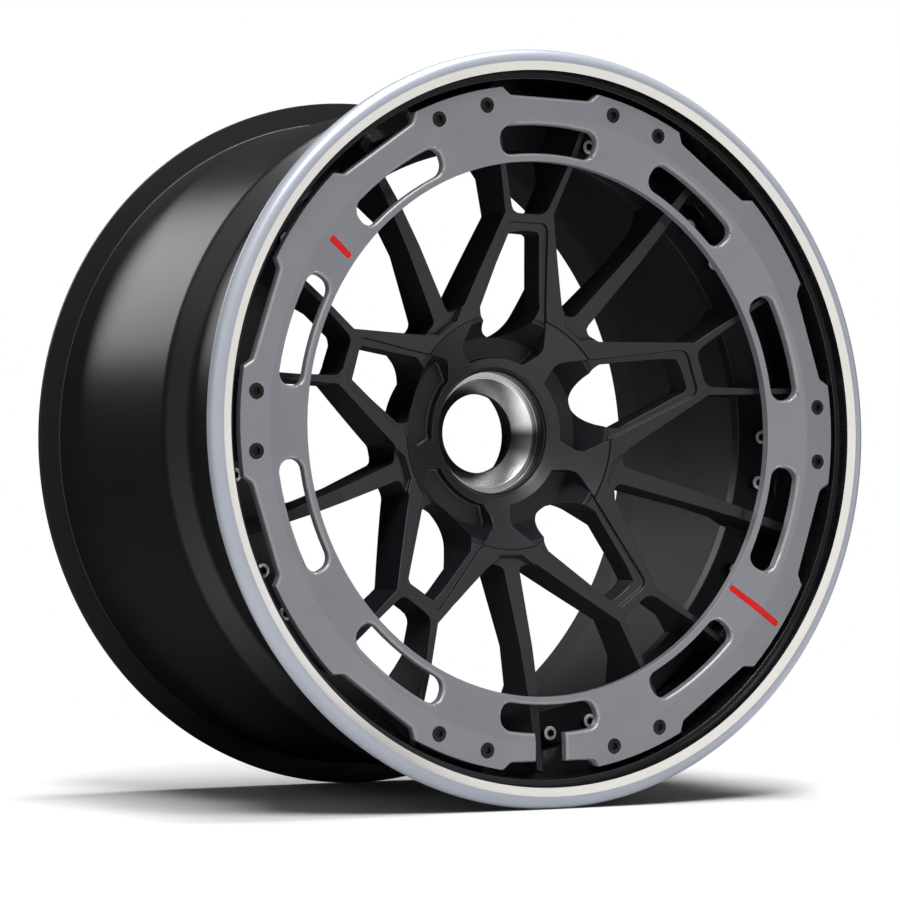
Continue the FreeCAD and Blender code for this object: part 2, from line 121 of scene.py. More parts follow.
# Grain of a coating: fine noise in Object coordinates lifts the surface and shifts its roughness,
# and a coarser noise lightens and darkens the colour a little
def addGrain(material, scale, strength, roughShift, patches, colorShift):
    tree = material.node_tree
    link = tree.links.new
    shader = tree.nodes["Principled BSDF"]
    roughness = shader.inputs["Roughness"].default_value
    color = np.array(shader.inputs["Base Color"].default_value)[:3]
    place = addNode(tree, "TexCoord")
    fine = addNode(tree, "TexNoise", {"Scale": scale, "Detail": relief["grainDetail"]})
    coarse = addNode(tree, "TexNoise", {"Scale": patches, "Detail": relief["patchDetail"]})
    rough = addNode(tree, "MapRange", {"To Min": roughness - roughShift, "To Max": roughness + roughShift})
    tone = addNode(tree, "ValToRGB")
    factors = (1 - colorShift, 1 + colorShift)
    for stop, where, factor in zip(tone.color_ramp.elements, relief["patchRange"], factors):
        stop.position = where
        stop.color = (*np.clip(color * factor, 0, 1), 1.0)
    link(place.outputs["Object"], fine.inputs["Vector"])
    link(place.outputs["Object"], coarse.inputs["Vector"])
    link(fine.outputs["Fac"], rough.inputs["Value"])
    link(rough.outputs["Result"], shader.inputs["Roughness"])
    link(coarse.outputs["Fac"], tone.inputs["Fac"])
    link(tone.outputs["Color"], shader.inputs["Base Color"])
    if strength > 0:
        addBump(tree, fine, strength)


# Brushing round the axle: the highlight is drawn out across the marks, along the first axis of the round map
def addTurning(material, amount):
    tree = material.node_tree
    shader = tree.nodes["Principled BSDF"]
    tangent = addNode(tree, "Tangent")
    tangent.direction_type = "UV_MAP"
    tangent.uv_map = "round"
    shader.inputs["Anisotropic"].default_value = amount
    tree.links.new(tangent.outputs["Tangent"], shader.inputs["Tangent"])


# Painted highlights and shade round the axle: the angle from the top, as a share of a turn, picks a grey for
# the colour
def addPaintedHighlights(material, paintedHighlights):
    tree = material.node_tree
    link = tree.links.new
    place = addNode(tree, "TexCoord")
    axes = addNode(tree, "SeparateXYZ")
    share = addNode(tree, "MapRange", {"From Min": -math.pi, "From Max": math.pi})
    ramp = addNode(tree, "ValToRGB")
    ramp.color_ramp.interpolation = "EASE"
    stops = ramp.color_ramp.elements
    for count, (degrees, grey) in enumerate(paintedHighlights):
        stop = stops[count] if count < 2 else stops.new(1.0)  # a new ramp has two stops already
        stop.position = degrees / 360 + 0.5
        stop.color = (grey, grey, grey, 1.0)
    link(place.outputs["Object"], axes.inputs["Vector"])
    angle = addMath(tree, "ARCTAN2", axes.outputs["X"], axes.outputs["Z"])
    link(angle, share.inputs["Value"])
    link(share.outputs["Result"], ramp.inputs["Fac"])
    link(ramp.outputs["Color"], tree.nodes["Principled BSDF"].inputs["Base Color"])


coatings = {  # scale of the grain, its strength, shift of roughness, scale of the patches, shift of colour
    "satinBlack": (1100, 0.12, 0.05, 30, 0.12),
    "barrelBlack": (1100, 0.10, 0.05, 18, 0.12),
    "insideBlackPaintedLight": (900, 0.15, 0.06, 18, 0.12),
    "greyRing": (2400, 0.10, 0.05, 40, 0.035),
    "ringEdge": (1800, 0.08, 0.06, 60, 0.06),
    "blackBolt": (2600, 0.15, 0.06, 200, 0.15),
    "brightBolt": (2600, 0.10, 0.06, 200, 0.06),
    "redPaint": (1500, 0.12, 0.06, 150, 0.08),
    "rubber": (1500, 0.30, 0.08, 120, 0.12),
    "polishedLipPaintedReflection": (700, 0.0, 0.04, 25, 0.025),
    "satinLipPaintedReflection": (900, 0.0, 0.05, 25, 0.03),
    "lipMetalPaintedShade": (900, 0.0, 0.06, 30, 0.12),
}
toolMarks = {  # spacing of the marks in metres, their strength
    "polishedLipPaintedReflection": (0.0005, 0.04),
    "satinLipPaintedReflection": (0.0006, 0.06),
    "lipMetalPaintedShade": (0.0012, 0.20),
    "turnedMetal": (0.0006, 0.25),
}
# The greys round the nut seat are painted highlights and painted shade, set by angle
turned = {"brushing": 0.85, "paintedHighlights": [  # angle, grey
    (-180, 0.55), (-120, 0.45), (-60, 0.40), (-20, 0.65), (10, 0.60), (50, 0.95),
    (75, 0.75), (92, 0.06), (105, 0.08), (125, 0.35), (150, 0.45), (180, 0.55)]}
for name, values in coatings.items():
    addGrain(finishes[name], *values)
for name, values in toolMarks.items():
    addToolMarks(finishes[name], *values)
addPaintedHighlights(finishes["turnedMetal"], turned["paintedHighlights"])
addTurning(finishes["turnedMetal"], turned["brushing"])
print("finishes made", len(finishes))


# Shapes

smoothUpTo = 28.0  # sharper edges than this, in degrees, stay sharp on the new pieces
arcRoom = 0.48  # share of a side that the arc at one of its ends may take


# A corner gives way to an arc tangent to both of its sides, cut short where a side is short
def roundedSection(corners, steps):
    points = np.array([corner[:2] for corner in corners], float)
    before = np.roll(points, 1, axis=0) - points
    after = np.roll(points, -1, axis=0) - points
    room = arcRoom * np.minimum(np.linalg.norm(before, axis=1), np.linalg.norm(after, axis=1))
    before /= np.linalg.norm(before, axis=1)[:, None]
    after /= np.linalg.norm(after, axis=1)[:, None]
    half = np.arccos(np.clip((before * after).sum(1), -1, 1)) / 2
    share = np.linspace(0, 1, steps + 1)[:, None]
    section = []
    for i, corner in enumerate(corners):
        radius = corner[2] if len(corner) > 2 else 0
        if radius == 0:
            section.append(points[i:i + 1])
            continue
        radius = min(radius, room[i] * math.tan(half[i]))
        middle = (before[i] + after[i]) / np.linalg.norm(before[i] + after[i])
        hub = points[i] + middle * radius / math.sin(half[i])
        start = points[i] + before[i] * radius / math.tan(half[i]) - hub
        end = points[i] + after[i] * radius / math.tan(half[i]) - hub
        sweep = np.pi - 2 * half[i]
        arc = (np.sin((1 - share) * sweep) * start + np.sin(share * sweep) * end) / math.sin(sweep)
        section.append(hub + arc)
    return np.concatenate(section)


# Quads between neighbours in a grid of point numbers that closes on itself along the ways given
def gridQuads(index, closedWays):
    for way in closedWays:
        index = np.concatenate([index, index.take([0], way)], way)
    return np.stack([index[:-1, :-1], index[1:, :-1], index[1:, 1:], index[:-1, 1:]], -1).reshape(-1, 4)


# Points about the axle: x is r sin t and z is r cos t at the angle t, and y is kept
def aboutAxle(radius, y, angle):
    return np.stack([radius * np.sin(angle), y + 0 * angle, radius * np.cos(angle)], -1)


# Volume by the sum of tetrahedra from the origin to each quad's two triangles.
# Faces turn round if it is negative.
def outward(points, faces):
    a, b, c, d = (points[faces[:, i]] for i in range(4))
    volume = np.einsum("ij,ij->", a, np.cross(b, c)) + np.einsum("ij,ij->", a, np.cross(c, d))
    return faces if volume > 0 else faces[:, ::-1]


# Ring spun about the axle, over a grid of section by angle, with its faces turned outwards
def spun(section, turns):
    angle = np.linspace(0, 2 * np.pi, turns, endpoint=False)
    points = aboutAxle(section[:, :1], section[:, 1:], angle).reshape(-1, 3)
    faces = gridQuads(np.arange(len(points)).reshape(-1, turns), (0, 1))
    return points, outward(points, faces)


# Middles of the faces of a spun ring, as their radius and y
def ringMiddles(points, faces):
    middle = points[faces].mean(1)
    return np.hypot(middle[:, 0], middle[:, 2]), middle[:, 1]


# Object at the origin, linked to the scene
def addObject(name, data):
    made = bpy.data.objects.new(name, data)
    bpy.context.scene.collection.objects.link(made)
    return made


# A finished piece rides on the wheel and stands for CAD nodes, which are hidden
def declare(made, replaced):
    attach(made, "root")
    if replaced:
        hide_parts(*replaced)


# Piece from points in millimetres, with one of its finishes chosen for each face
def piece(name, points, faces, materials, slot, replaced=(), choice=None):
    mesh = bpy.data.meshes.new(name)
    mesh.from_pydata((points * mm).tolist(), [], [list(face) for face in faces])
    for material in materials:
        mesh.materials.append(finishes[material])
    if choice is not None:
        mesh.polygons.foreach_set("material_index", np.asarray(choice, np.int32))
    mesh.shade_smooth()
    mesh.set_sharp_from_angle(angle=math.radians(smoothUpTo))
    made = addObject(name, mesh)
    declare(made, replaced)
    print("piece", name, len(mesh.polygons), "faces")
    return made


# Map with its first axis round the axle and its second along the section, for brushed finishes
def mapRound(made, rows, columns):
    mesh = made.data
    layer = mesh.uv_layers.new(name="round")
    vertex = np.zeros(len(mesh.loops), np.int32)
    mesh.loops.foreach_get("vertex_index", vertex)
    u = (vertex % columns) / columns
    v = (vertex // columns) / rows
    corner = np.arange(len(vertex)).reshape(-1, 4)
    wraps = u[corner].max(1) - u[corner].min(1) > 0.5
    low = (u[corner] < 0.5) & wraps[:, None]
    u = np.where(low, u[corner] + 1, u[corner]).ravel()
    layer.data.foreach_set("uv", np.stack([u, v], -1).astype(np.float32).ravel())


# What the two rim halves share: radii, distances of both flanges from the middle plane, and y of the joint
rim = {"turns": 400, "face": 168.05, "flange": 286.6, "flangeRound": 8.0, "flangeSteps": 13,
       "flangeBack": 158.75, "flangeEdge": 1.2, "seat": 269.1, "seatFoot": 267.1, "seatEnd": 134.75,
       "wellOuter": 253.0, "wellInner": 247.5, "joint": -78.5}


# Quarter circle of a flange's outer corner, from its face to its top; side is -1 at the front
def flangeArc(side):
    bend = rim["flangeRound"]
    turn = np.linspace(0, np.pi / 2, rim["flangeSteps"])
    radius = rim["flange"] - bend + bend * np.sin(turn)
    y = rim["face"] - bend + bend * np.cos(turn)
    return list(zip(radius, side * y))


# Polished lip: satin outer band and shallow polished band, coloured blue-grey and cream as painted
# reflections; dark step, ledge and inner wall in a dark metal that is painted shade; black tyre side
lip = {"band": (277.0, 270.4), "bandDepth": 2.0, "bandEdge": 0.2, "ledge": (269.0, 265.2), "ledgeY": -157.05,
       "edge": 0.3, "wallEnd": -104.0, "wallRound": 6.0, "seatRound": 5.0, "wellStart": -106.75,
       "wellRound": 10.0, "tyreSideY": -158.9, "skin": 1.5, "bandReach": 0.1, "arcSteps": 10}
lipSection = roundedSection([
    (rim["wellInner"], rim["joint"]),
    (rim["wellInner"], lip["wallEnd"], lip["wallRound"]),
    (lip["ledge"][1], lip["ledgeY"], lip["edge"]),
    (lip["ledge"][0], lip["ledgeY"], lip["edge"]),
    (lip["band"][1], lip["bandDepth"] - rim["face"], lip["edge"]),
    (lip["band"][0], -rim["face"], lip["bandEdge"]),
    *flangeArc(-1),
    (rim["flange"], -rim["flangeBack"], rim["flangeEdge"]),
    (rim["seat"], -rim["flangeBack"], lip["seatRound"]),
    (rim["seatFoot"], -rim["seatEnd"], lip["wellRound"]),
    (rim["wellOuter"], lip["wellStart"], lip["wellRound"]),
    (rim["wellOuter"], rim["joint"])], lip["arcSteps"])
lipPoints, lipFaces = spun(lipSection, rim["turns"])
middleRadius, middleY = ringMiddles(lipPoints, lipFaces)
innerWall = np.interp(-middleY, [-rim["joint"], -lip["wallEnd"], -lip["ledgeY"], rim["face"]],
                      [rim["wellInner"], rim["wellInner"], lip["ledge"][1], lip["band"][0]])
inBand = middleRadius > lip["band"][1] + lip["bandReach"]
# Finish by radius: painted reflection on the two bands, painted shade on the step, ledge and inner wall
lipChoice = np.where(middleRadius > lip["band"][0], 1, np.where(inBand, 0, 3))
lipChoice[(middleY > lip["tyreSideY"]) & (middleRadius - innerWall > lip["skin"])] = 2
piece("lipRim", lipPoints, lipFaces, ["polishedLipPaintedReflection", "satinLipPaintedReflection", "barrelBlack", "lipMetalPaintedShade"],
      "polished_aluminium", ["outer_lip"], lipChoice)

# Lugs behind the cover ring, one for each pair of bolts; their roots end inside the lip's wall
lugs = {"pairs": [18.0, 90.0, 162.0, 198.0, 270.0, 342.0], "halfAngle": 6.4, "steps": 16, "section": [
    (240.8, -151.5), (256.3, -151.5), (262.5, -143.0), (259.0, -130.6), (240.8, -139.5)]}


# Lug: the section swept over a small angle about the axle, with a flat at each end
def lugSet():
    section = np.array(lugs["section"])
    sweep = np.linspace(-lugs["halfAngle"], lugs["halfAngle"], lugs["steps"])
    points, faces = [], []
    for pair in lugs["pairs"]:
        grid = aboutAxle(section[:, :1], section[:, 1:], np.radians(pair + sweep))
        index = np.arange(grid[..., 0].size).reshape(len(section), -1) + sum(map(len, points))
        points.append(grid.reshape(-1, 3))
        faces += gridQuads(index, (0,)).tolist() + [index[::-1, 0].tolist(), index[:, -1].tolist()]
    return np.concatenate(points), faces


piece("ringLugs", *lugSet(), ["barrelBlack"], "black_aluminium", ["outer_lip"])

# Satin black barrel: bolting flange, well, drum and rear flange. Inside the middle of its wall, given by
# y and radius, it has a lighter black that paints in light on the inner face.
barrel = {"boltFlange": 224.0, "boltFlangeBack": -70.5, "boltFlangeEdge": 0.6, "boltFlangeFoot": 2.5,
          "wellOuterEnd": -58.0, "wellInnerEnd": -52.5, "drumOuterStart": -38.0, "drumInnerStart": -32.5,
          "wellRound": 14.0, "seatRound": 4.0, "drumInner": 261.6, "drumInnerEnd": 128.05, "drumRound": 12.0,
          "mouth": 266.6, "mouthRound": 1.5, "arcSteps": 8, "middleY": [-78.5, -55.0, -35.0, 128.0, 168.0],
          "middleRadius": [250.2, 250.2, 264.3, 264.3, 268.0]}
barrelSection = roundedSection([
    (barrel["boltFlange"], rim["joint"], barrel["boltFlangeEdge"]),
    (rim["wellOuter"], rim["joint"]),
    (rim["wellOuter"], barrel["wellOuterEnd"], barrel["wellRound"]),
    (rim["seatFoot"], barrel["drumOuterStart"], barrel["wellRound"]),
    (rim["seatFoot"], rim["seatEnd"], barrel["seatRound"]),
    (rim["seat"], rim["flangeBack"], rim["flangeEdge"]),
    (rim["flange"], rim["flangeBack"], rim["flangeEdge"]),
    *flangeArc(1)[::-1],
    (barrel["mouth"], rim["face"], barrel["mouthRound"]),
    (barrel["drumInner"], barrel["drumInnerEnd"], barrel["drumRound"]),
    (barrel["drumInner"], barrel["drumInnerStart"], barrel["wellRound"]),
    (rim["wellInner"], barrel["wellInnerEnd"], barrel["wellRound"]),
    (rim["wellInner"], barrel["boltFlangeBack"], barrel["boltFlangeFoot"]),
    (barrel["boltFlange"], barrel["boltFlangeBack"], barrel["boltFlangeEdge"])], barrel["arcSteps"])
barrelPoints, barrelFaces = spun(barrelSection, rim["turns"])
middleRadius, middleY = ringMiddles(barrelPoints, barrelFaces)
inside = middleRadius < np.interp(middleY, barrel["middleY"], barrel["middleRadius"])
piece("barrelRim", barrelPoints, barrelFaces, ["barrelBlack", "insideBlackPaintedLight"], "black_aluminium",
      ["inner_barrel"], inside)

# Bright turned seat for the centre nut, with a black wall ahead of it
insert = {"turns": 240, "bore": 31.1, "rear": -40.0, "coneRear": -45.0, "cone": 42.7, "coneFront": -57.7,
          "wall": 47.5, "front": -68.4, "outer": 48.5, "rearEdge": 0.2, "coneEdges": (0.8, 0.5),
          "wallFoot": 0.3, "edge": 0.35, "brightY": (-58.3, -44.6), "arcSteps": 4}
insertSection = roundedSection([
    (insert["bore"], insert["rear"], insert["rearEdge"]),
    (insert["bore"], insert["coneRear"], insert["coneEdges"][0]),
    (insert["cone"], insert["coneFront"], insert["coneEdges"][1]),
    (insert["wall"], insert["coneFront"], insert["wallFoot"]),
    (insert["wall"], insert["front"], insert["edge"]),
    (insert["outer"], insert["front"], insert["edge"]),
    (insert["outer"], insert["rear"], insert["rearEdge"])], insert["arcSteps"])
insertPoints, insertFaces = spun(insertSection, insert["turns"])
middleY = ringMiddles(insertPoints, insertFaces)[1]
black = (middleY < insert["brightY"][0]) | (middleY > insert["brightY"][1])
insertPiece = piece("nutSeat", insertPoints, insertFaces, ["turnedMetal", "satinBlack"], "turned_steel",
                    ["hub_insert"], black)
mapRound(insertPiece, len(insertSection), insert["turns"])


# Rows of a socket bolt as (radius, y, corner share), from its tip over the head to the socket's floor.
# Tip and head edge are listed as how far in and how far along from the full radius and the end.
def boltRows(bolt):
    tip = [(bolt["shank"] - inwards, bolt["end"] + along, 0) for inwards, along in bolt["tip"]]
    head = [(bolt["head"] - inwards, bolt["top"] + along, 0) for inwards, along in bolt["headEdge"]]
    seat = [(bolt["shank"], bolt["seat"], 0), (bolt["head"], bolt["seat"], 0)]
    socket = [(bolt["socket"] + bolt["socketEdge"][0], bolt["top"], 1),
              (bolt["socket"], bolt["top"] + bolt["socketEdge"][1], 1),
              (bolt["socket"], bolt["top"] + bolt["socketDepth"], 1)]
    return np.array(tip + seat + head + socket)


# Bolts at their places, each row a circle, or a hexagon where its corner share is 1
def socketBolts(bolt, places):
    steps, rows = bolt["steps"], boltRows(bolt)
    angle = np.linspace(0, 2 * np.pi, steps, endpoint=False)
    hexagon = math.cos(math.pi / 6) / np.cos(np.mod(angle, math.pi / 3) - math.pi / 6)
    radius, y, share = rows[:, :1], rows[:, 1:2], rows[:, 2:]
    points = aboutAxle(radius * (1 + share * (hexagon - 1)), y, angle).reshape(-1, 3)
    index = np.arange(len(points)).reshape(-1, steps)
    quads = gridQuads(index, (1,))
    faces = []
    for first in np.arange(len(places)) * len(points):
        faces += (quads + first).tolist() + [(index[0, ::-1] + first).tolist(), (index[-1] + first).tolist()]
    return (points[None] + places[:, None]).reshape(-1, 3), faces


# Places on a circle about the axle
def roundPlaces(radius, angles):
    return aboutAxle(radius, 0, np.radians(np.array(angles)))


ringBolt = {"circle": 247.75, "spread": (-5.0, 5.0), "top": -158.7, "seat": -155.5, "end": -142.7,
            "shank": 2.9, "tip": [(0, 0)], "head": 5.7, "headEdge": [(0, 0.5), (0.2, 0.15), (0.6, 0)],
            "socket": 2.9, "socketEdge": (0.2, 0.3), "socketDepth": 2.4, "steps": 48}
ringPlaces = roundPlaces(ringBolt["circle"], [p + s for p in lugs["pairs"] for s in ringBolt["spread"]])
piece("ringBoltSet", *socketBolts(ringBolt, ringPlaces), ["blackBolt"], "black_steel", ["ring_bolts"])

# Bright bolts of the disc; the strips between rows numbered here, round the head and in the socket, are
# black: painted shade in the socket and in the gap round the head
discBolt = {"circle": 237.0, "petals": 5, "angles": [18.0, 27.0, 45.0, 54.0], "top": -95.5, "seat": -88.5,
            "end": -66.5, "shank": 3.9, "tip": [(0.5, 0), (0, -0.6)], "head": 5.5,
            "headEdge": [(0, 0.8), (0.3, 0.2), (0.8, 0)], "socket": 3.0, "socketEdge": (0.2, 0.3),
            "socketDepth": 3.5, "steps": 48, "paintedShadeStrips": [2, 3, 7, 8]}
petalTurns = np.arange(discBolt["petals"]) * 360 / discBolt["petals"]
boltAngles = [turn + angle for turn in petalTurns for angle in discBolt["angles"]]
discPlaces = roundPlaces(discBolt["circle"], boltAngles)
shadeStrips = np.isin(np.arange(len(boltRows(discBolt)) - 1), discBolt["paintedShadeStrips"]).repeat(discBolt["steps"])
boltChoice = np.tile(np.append(shadeStrips, [False, True]), len(discPlaces))
piece("assemblyBoltSet", *socketBolts(discBolt, discPlaces), ["brightBolt", "blackBolt"], "bright_steel",
      ["assembly_bolts"], boltChoice)

# Copies of CAD pieces: distances in millimetres and angles in degrees
copying = {"weld": 0.002, "flat": 0.3, "sharp": 25, "circleSharp": 3, "circleReach": 0.05,
           "outerTurn": 30, "innerTurn": -20}


# Copy of a CAD piece with its loose triangles and shortest edges merged and its flat parts joined.
# Its edges get bevels whose widths come from a function of the edges' middles, their outward turn
# and whether they follow a turned circle, with one radius and one y. Such an edge stays sharp from a
# small angle on.
def easedCopy(name, node, materials, widths, sizes):
    work = bmesh.new()
    work.from_mesh(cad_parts[node].data)
    bmesh.ops.remove_doubles(work, verts=work.verts, dist=copying["weld"] * mm)
    flat = math.radians(copying["flat"])
    bmesh.ops.dissolve_limit(work, angle_limit=flat, verts=work.verts, edges=work.edges)
    bmesh.ops.dissolve_degenerate(work, dist=sizes["shortest"] * mm, edges=work.edges)
    mesh = bpy.data.meshes.new(name)
    work.edges.ensure_lookup_table()
    turn = np.degrees([edge.calc_face_angle_signed(0.0) for edge in work.edges])
    work.to_mesh(mesh)
    work.free()
    places = np.zeros(len(mesh.vertices) * 3)
    mesh.vertices.foreach_get("co", places)
    places = places.reshape(-1, 3) / mm
    ends = np.zeros(len(mesh.edges) * 2, np.int32)
    mesh.edges.foreach_get("vertices", ends)
    a, b = places[ends[0::2]], places[ends[1::2]]
    radii = np.hypot(a[:, 0], a[:, 2]), np.hypot(b[:, 0], b[:, 2])
    circle = np.abs(radii[0] - radii[1]) < copying["circleReach"]
    circle &= np.abs(a[:, 1] - b[:, 1]) < copying["circleReach"]
    sharp = (np.abs(turn) > copying["sharp"]) | (circle & (np.abs(turn) > copying["circleSharp"]))
    width = widths((a + b) / 2, turn, circle)
    mesh.materials.clear()
    for material in materials:
        mesh.materials.append(finishes[material])
    mesh.shade_smooth()
    mesh.attributes.new("sharp_edge", "BOOLEAN", "EDGE").data.foreach_set("value", sharp)
    weight = (width / width.max()).astype(np.float32)
    mesh.attributes.new("bevel_weight_edge", "FLOAT", "EDGE").data.foreach_set("value", weight)
    made = addObject(name, mesh)
    bevel = made.modifiers.new("easedEdges", "BEVEL")
    bevel.width = width.max() * mm
    bevel.segments = sizes["segments"]
    bevel.limit_method = "WEIGHT"
    bevel.use_clamp_overlap = False
    bevel.harden_normals = True
    bevel.material = len(materials) - 1
    declare(made, [node])
    print("piece", name, len(mesh.polygons), "faces,", int((width > 0).sum()), "edges eased of", len(width))


# Whether values lie between two limits
def between(values, limits):
    return (values > limits[0]) & (values < limits[1])


# Milled marks as (angle, start radius, end radius), and the paint in them
marks = {"places": [(306.0, 208.0, 231.0), (126.0, 205.2, 256.4)], "halfWidth": 2.75, "sunk": 0.3,
         "vee": 0.4, "thick": 0.55, "steps": 60, "endGap": 0.06, "endReach": 0.5, "sideReach": 0.1}

# Cover ring: its front rises from the inner radius to the second one and is flat from there on
ring = {"bevel": 2.4, "edge": 0.25, "segments": 4, "shortest": 0.3, "frontRadii": [203.1, 236.6],
        "frontY": [-152.8, -158.7], "frontReach": 0.3, "rims": (204.0, 259.0), "boltReach": 7.0}


# Wide on the front of slots, notches and the gate; small on the ring's rims, bolt seats and milled marks
def ringWidths(middle, turn, circle):
    flat = middle[:, [0, 2]]
    radius = np.hypot(flat[:, 0], flat[:, 1])
    front = np.interp(radius, ring["frontRadii"], ring["frontY"])
    wide = (np.abs(middle[:, 1] - front) < ring["frontReach"]) & between(radius, ring["rims"])
    boltDistance = np.linalg.norm(flat[:, None] - ringPlaces[None, :, [0, 2]], axis=2).min(1)
    wide &= boltDistance > ring["boltReach"]
    for angle, start, end in marks["places"]:
        along = flat @ np.array([math.sin(math.radians(angle)), math.cos(math.radians(angle))])
        pastEnd = np.abs(along - (start + end) / 2) > (end - start) / 2 + marks["endReach"]
        wide &= pastEnd | (np.abs(radius - along) > marks["sideReach"])
    return np.where(turn > copying["outerTurn"], np.where(wide, ring["bevel"], ring["edge"]), 0)


easedCopy("coverRing", "aero_ring", ["greyRing", "ringEdge"], ringWidths, ring)

# Spoked disc: the front of its spokes is given by radius and y
disc = {"edge": 0.7, "pocket": 0.7, "trough": 2.0, "segments": 3, "shortest": 0.7,
        "groove": 91.5, "grooveReach": 1.5, "pocketDepth": 12, "pocketRadii": (93, 225),
        "troughFloor": -69.0, "troughReach": 0.4, "troughRadii": (56, 73.5),
        "frontRadii": [50.0, 91.7, 166.5, 201.8, 272.0], "frontY": [-72.3, -97.4, -126.6, -137.2, -151.0]}


# Outer edges and the inner corners of the pockets a little, the troughs beside the hub most, the groove not
def discWidths(middle, turn, circle):
    radius, y = np.hypot(middle[:, 0], middle[:, 2]), middle[:, 1]
    inner = turn < copying["innerTurn"]
    groove = circle & (np.abs(radius - disc["groove"]) < disc["grooveReach"])
    front = np.interp(radius, disc["frontRadii"], disc["frontY"])
    onFloor = np.abs(y - disc["troughFloor"]) < disc["troughReach"]
    pocket = inner & (y < front + disc["pocketDepth"]) & between(radius, disc["pocketRadii"])
    trough = inner & onFloor & between(radius, disc["troughRadii"])
    width = np.where(turn > copying["outerTurn"], disc["edge"], 0)
    width = np.where(pocket, disc["pocket"], width)
    width = np.where(trough, disc["trough"], width)
    return np.where(groove, 0, width)


easedCopy("spokedDisc", "centre_disc", ["satinBlack"], discWidths, disc)


# Paint in a milled mark: a shallow vee along the radius whose half width falls to a round at both ends
def markPads():
    half = marks["halfWidth"]
    share = (1 - np.cos(np.linspace(marks["endGap"], np.pi - marks["endGap"], marks["steps"]))) / 2
    points, faces = [], []
    for angle, start, end in marks["places"]:
        along = start + (end - start) * share
        reach = np.minimum(np.minimum(along - start, end - along), half)
        side = np.sqrt(half ** 2 - (half - reach) ** 2)
        top = np.interp(along, ring["frontRadii"], ring["frontY"]) + marks["sunk"]
        floor = top + marks["vee"] * side / half
        bottom = top + marks["thick"]
        across = np.stack([-side, 0 * side, side, side, -side], -1)
        depth = np.stack([top, floor, top, bottom, bottom], -1)
        t = math.radians(angle)
        x = along[:, None] * math.sin(t) + across * math.cos(t)
        z = along[:, None] * math.cos(t) - across * math.sin(t)
        index = np.arange(x.size).reshape(x.shape) + sum(map(len, points))
        points.append(np.stack([x, depth, z], -1).reshape(-1, 3))
        faces += gridQuads(index.T, (0,)).tolist() + [index[0, ::-1].tolist(), index[-1].tolist()]
    return np.concatenate(points), faces


piece("ringMarks", *markPads(), ["redPaint"], None)

# Tyre valve keeps its CAD pieces
valve = {"valve_stem": "brightBolt", "valve_nut": "brightBolt", "valve_seal": "rubber",
         "valve_cap": "blackBolt"}
for node, material in valve.items():
    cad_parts[node].data.materials.clear()
    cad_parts[node].data.materials.append(finishes[material])


# Studio, in metres

studio = {"floor": -286.6 * mm, "floorReach": 12.0, "floorColor": (0.92, 0.92, 0.92), "whiteFrom": 0.55,
          "whiteAt": 1.1, "world": 0.09}


# Flat panel of the studio from its corners
def panel(name, corners, material):
    mesh = bpy.data.meshes.new(name)
    mesh.from_pydata(corners, [], [range(len(corners))])
    mesh.materials.append(material)
    made = addObject(name, mesh)
    return made


# 1 for rays from the camera, off gloss and through glass, and 0 for the light that falls on the object
def directRays(tree):
    rays = addNode(tree, "LightPath").outputs
    seen = addMath(tree, "MAXIMUM", rays["Is Camera Ray"], rays["Is Glossy Ray"])
    return addMath(tree, "MAXIMUM", seen, rays["Is Transmission Ray"])


# Two shaders mixed by a share, into the tree's output
def mixInto(tree, output, share, first, second):
    mix = addNode(tree, "MixShader")
    tree.links.new(share, mix.inputs["Fac"])
    tree.links.new(first, mix.inputs[1])
    tree.links.new(second, mix.inputs[2])
    tree.links.new(mix.outputs["Shader"], tree.nodes[output].inputs["Surface"])


# Away from the wheel the floor turns into plain white for the camera, by distance from the wheel's middle
def whitenFloor(material):
    tree = material.node_tree
    place = addNode(tree, "TexCoord")
    length = addNode(tree, "VectorMath")
    length.operation = "LENGTH"
    spread = addNode(tree, "MapRange", {"From Min": studio["whiteFrom"], "From Max": studio["whiteAt"]})
    spread.interpolation_type = "SMOOTHSTEP"
    glow = addNode(tree, "Emission")
    tree.links.new(place.outputs["Object"], length.inputs[0])
    tree.links.new(length.outputs["Value"], spread.inputs["Value"])
    share = addMath(tree, "MULTIPLY", spread.outputs["Result"], directRays(tree))
    surface = tree.nodes["Principled BSDF"].outputs["BSDF"]
    mixInto(tree, "Material Output", share, surface, glow.outputs["Emission"])


low, reach = studio["floor"], studio["floorReach"]
paleFloor = finish("paleFloor", studio["floorColor"], roughness=0.7, metallic=0.0, specular=0.1)
whitenFloor(paleFloor)
floorCorners = [(-reach, -reach, low), (reach, -reach, low), (reach, reach, low), (-reach, reach, low)]
panel("floor", floorCorners, paleFloor)

world = bpy.data.worlds.new("studio")
bpy.context.scene.world = world
world.use_nodes = True
tree = world.node_tree
sky = tree.nodes["Background"]
sky.inputs["Color"].default_value = (1, 1, 1, 1)
sky.inputs["Strength"].default_value = studio["world"]
white = addNode(tree, "Background", {"Color": (1, 1, 1, 1), "Strength": 1.0})
mixInto(tree, "World Output", directRays(tree), sky.outputs["Background"], white.outputs["Background"])

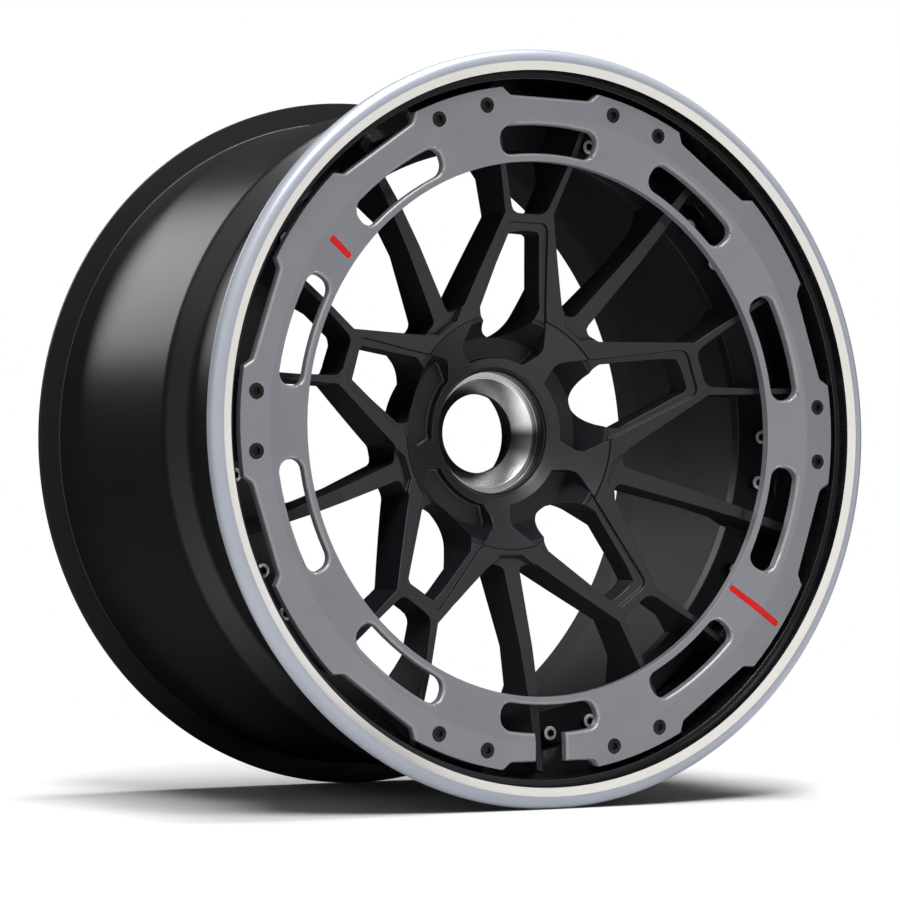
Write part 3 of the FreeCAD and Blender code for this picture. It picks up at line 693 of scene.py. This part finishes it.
# Dark cards that only reflections see, so that black finishes stay black.
# The last one, a half disc in the rear mouth, also keeps the rear lamp off the spokes.
cards = {"color": (0.04, 0.04, 0.04), "backY": 2.6, "backTop": 5.0, "backReach": 5.0, "sideTop": 2.0,
         "sides": [(4.0, -9.0, -3.4), (4.0, -0.6, 2.6), (-4.0, -0.3, 2.6)], "lift": 0.003,
         "mouthRadius": 0.261, "mouthY": 0.12, "mouthAngles": (-120, 60), "mouthSteps": 25}
wide, rear, lifted = cards["backReach"], cards["backY"], low + cards["lift"]
high, sideHigh = cards["backTop"], cards["sideTop"]
mouthTurn = np.radians(np.linspace(*cards["mouthAngles"], cards["mouthSteps"]))
cardCorners = [
    [(-wide, rear, low), (wide, rear, low), (wide, rear, high), (-wide, rear, high)],
    *[[(x, near, low), (x, far, low), (x, far, sideHigh), (x, near, sideHigh)]
      for x, near, far in cards["sides"]],
    [(-wide, 0.0, lifted), (wide, 0.0, lifted), (wide, rear, lifted), (-wide, rear, lifted)],
    aboutAxle(cards["mouthRadius"], cards["mouthY"], mouthTurn).tolist()]
darkCard = finish("darkCard", cards["color"], roughness=1.0, metallic=0.0, specular=0.0)
for count, corners in enumerate(cardCorners):
    card = panel("darkCard%d" % count, corners, darkCard)
    card.visible_camera = False
    card.visible_diffuse = False
    card.visible_transmission = False
    card.visible_shadow = count == len(cardCorners) - 1


# Matrix of a lamp or camera at a place, from its right, up and backward directions
def stand(right, up, back, place):
    matrix = np.eye(4)
    matrix[:3] = np.stack([right, up, back, place], -1)
    return Matrix(matrix.tolist())


# Softboxes, all turned to the wheel's middle; the rear one only makes highlights
lamps = [  # name, place, width, height, watts, diffuse light
    ("keySoftbox", (-0.9, -1.9, 3.3), 1.6, 1.6, 130.0, True),
    ("topSoftbox", (0.25, 0.1, 2.6), 1.4, 1.0, 78.0, True),
    ("rearSoftbox", (-0.8, 2.4, 1.1), 1.4, 1.0, 13.0, False),
    ("leftStrip", (-2.2, -1.6, 1.4), 0.5, 2.2, 3.5, True)]
for name, place, width, height, watts, diffuse in lamps:
    data = bpy.data.lights.new(name, "AREA")
    data.shape = "RECTANGLE"
    data.size = width
    data.size_y = height
    data.energy = watts
    lamp = addObject(name, data)
    lamp.visible_diffuse = diffuse
    away = np.array(place) / np.linalg.norm(place)
    side = np.cross((0, 0, 1), away)
    side /= np.linalg.norm(side)
    lamp.matrix_world = stand(side, np.cross(away, side), away, place)

# Camera on a sphere round the wheel, slid sideways and down to the picture's framing; focus is in pixels
view = {"azimuth": -29.21, "elevation": -2.03, "distance": 2.507, "right": 0.0007, "up": -0.0116,
        "focus": 3133.0, "picture": 900, "sensor": 36.0}
a, e = math.radians(view["azimuth"]), math.radians(view["elevation"])
back = np.array([math.sin(a) * math.cos(e), -math.cos(a) * math.cos(e), math.sin(e)])
right = np.array([math.cos(a), math.sin(a), 0.0])
up = np.cross(back, right)
cameraData = bpy.data.cameras.new("camera")
cameraData.sensor_width = view["sensor"]
cameraData.lens = view["focus"] / view["picture"] * view["sensor"]
camera = addObject("camera", cameraData)
cameraPlace = back * view["distance"] + right * view["right"] + up * view["up"]
camera.matrix_world = stand(right, up, back, cameraPlace)
bpy.context.scene.camera = camera
bpy.context.scene.view_settings.view_transform = "Standard"
print("studio and camera set")
